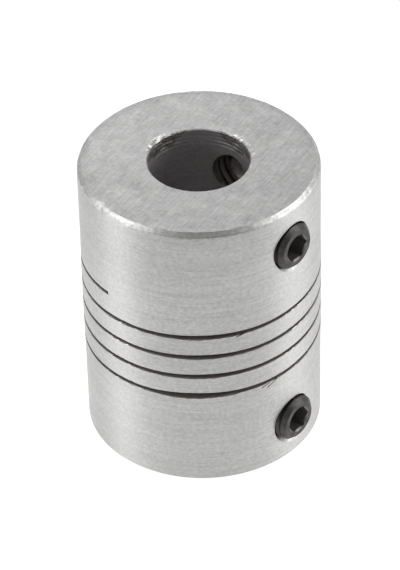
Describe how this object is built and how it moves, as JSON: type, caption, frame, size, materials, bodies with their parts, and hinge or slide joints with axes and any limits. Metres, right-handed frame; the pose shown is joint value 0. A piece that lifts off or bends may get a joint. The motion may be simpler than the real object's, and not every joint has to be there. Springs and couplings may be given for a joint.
{
  "type": "helical beam shaft coupling",
  "caption": "Flexible shaft coupling turned from one bar, with a helical slit through its middle, a stepped bore for unequal shafts, and radial grub screws that clamp them.",
  "frame": {"origin": "on the coupling's axis, in the plane of the lower end face that it stands on", "axes": "+Z along the bores, from the lower (5 mm) hub to the upper (8 mm) hub; +X out along the a screws and +Y out along the b screws"},
  "size_m": [0.0196, 0.0196, 0.025],
  "materials": {
    "turned_aluminium": "bare aluminium with fine turning marks",
    "black_steel": "black oxide, worn lighter on its edges"
  },
  "bodies": {
    "body": {"coupling_body": "turned_aluminium"},
    "upper_screw_a": {"upper_grub_screw_a": "black_steel"},
    "upper_screw_b": {"upper_grub_screw_b": "black_steel"},
    "lower_screw_a": {"lower_grub_screw_a": "black_steel"},
    "lower_screw_b": {"lower_grub_screw_b": "black_steel"}
  },
  "joints": [
    {"name": "upper_screw_a_travel", "type": "slide", "parent": "body", "child": "upper_screw_a", "axis": [1, 0, 0], "range_m": [-0.00145, 0.0022]},
    {"name": "upper_screw_b_travel", "type": "slide", "parent": "body", "child": "upper_screw_b", "axis": [0, 1, 0], "range_m": [-0.00145, 0.0022]},
    {"name": "lower_screw_a_travel", "type": "slide", "parent": "body", "child": "lower_screw_a", "axis": [1, 0, 0], "range_m": [-0.0031, 0.00205]},
    {"name": "lower_screw_b_travel", "type": "slide", "parent": "body", "child": "lower_screw_b", "axis": [0, 1, 0], "range_m": [-0.0031, 0.00205]}
  ]
}
